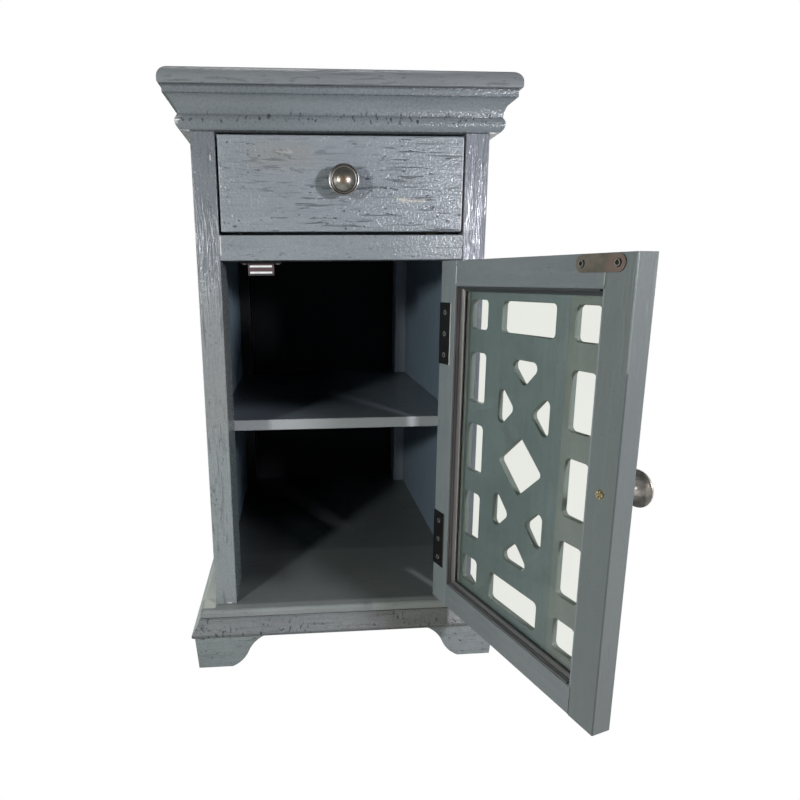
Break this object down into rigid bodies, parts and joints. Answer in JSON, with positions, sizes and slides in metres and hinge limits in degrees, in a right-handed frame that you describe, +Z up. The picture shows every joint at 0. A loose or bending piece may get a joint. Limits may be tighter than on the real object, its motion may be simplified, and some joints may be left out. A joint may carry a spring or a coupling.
{
  "type": "storage table",
  "caption": "Small painted side table with a crowned top, a drawer with a round knob, a glazed fret door hinged at the right over a shelf, and a moulded base on bracket feet.",
  "frame": {"origin": "on the floor, under the middle of the carcass (the posts' footprint)", "axes": "+Z up, -Y towards the front with the drawer and the door, +X towards the hinge side"},
  "size_m": [0.3906, 0.7167, 0.631],
  "materials": {
    "painted_wood": "brushed satin paint, worn",
    "bare_wood": "unpainted, planed",
    "clear_glass": "clear",
    "dark_bronze": "dark bronze",
    "antique_pewter": "antique pewter",
    "brass": "plain",
    "bright_steel": "bright",
    "strike_bronze": "brown bronze",
    "catch_plastic": "matte"
  },
  "bodies": {
    "cabinet": {"top_board": "painted_wood", "crown_front": "painted_wood", "crown_left": "painted_wood", "crown_right": "painted_wood", "base_board": "painted_wood", "base_moulding_front": "painted_wood", "base_moulding_left": "painted_wood", "base_moulding_right": "painted_wood", "base_rail_rear": "painted_wood", "foot_front_left": "painted_wood", "foot_front_right": "painted_wood", "foot_front_side_left": "painted_wood", "foot_front_side_right": "painted_wood", "foot_rear_side_left": "painted_wood", "foot_rear_side_right": "painted_wood", "side_panel_left": "painted_wood", "side_panel_right": "painted_wood", "back_panel": "painted_wood", "side_rail_left": "painted_wood", "side_rail_right": "painted_wood", "rear_rail": "painted_wood", "top_rail": "painted_wood", "post_front_left": "painted_wood", "post_front_right": "painted_wood", "post_rear_left": "painted_wood", "post_rear_right": "painted_wood", "front_rail": "painted_wood", "shelf": "painted_wood", "shelf_cleat_left": "painted_wood", "shelf_cleat_right": "painted_wood", "drawer_runner_left": "bare_wood", "drawer_runner_right": "bare_wood", "hinge_frame_leaves": "dark_bronze", "hinge_frame_screws": "dark_bronze", "hinge_pins": "dark_bronze", "catch_housing": "catch_plastic", "catch_poles": "bright_steel", "catch_screws": "bright_steel"},
    "drawer": {"drawer_front": "painted_wood", "drawer_side_left": "bare_wood", "drawer_side_right": "bare_wood", "drawer_back": "bare_wood", "drawer_bottom": "bare_wood", "drawer_knob": "antique_pewter", "drawer_knob_screw": "brass"},
    "door": {"door_stile_hinge": "painted_wood", "door_stile_free": "painted_wood", "door_rail_top": "painted_wood", "door_rail_bottom": "painted_wood", "fret_panel": "painted_wood", "glass_pane": "clear_glass", "glazing_beads_upright": "painted_wood", "glazing_beads_level": "painted_wood", "hinge_door_leaves": "dark_bronze", "hinge_door_screws": "dark_bronze", "strike_plate": "strike_bronze", "strike_screws": "dark_bronze", "door_knob": "antique_pewter", "door_knob_screw": "brass"}
  },
  "joints": [
    {"name": "door_hinge", "type": "hinge", "parent": "cabinet", "child": "door", "pos_m": [0.1238, -0.2388, 0.2642], "axis": [0, 0, 1], "range_deg": [-108, 70]},
    {"name": "drawer_slide", "type": "slide", "parent": "cabinet", "child": "drawer", "axis": [0, -1, 0], "range_m": [0, 0.28]}
  ]
}
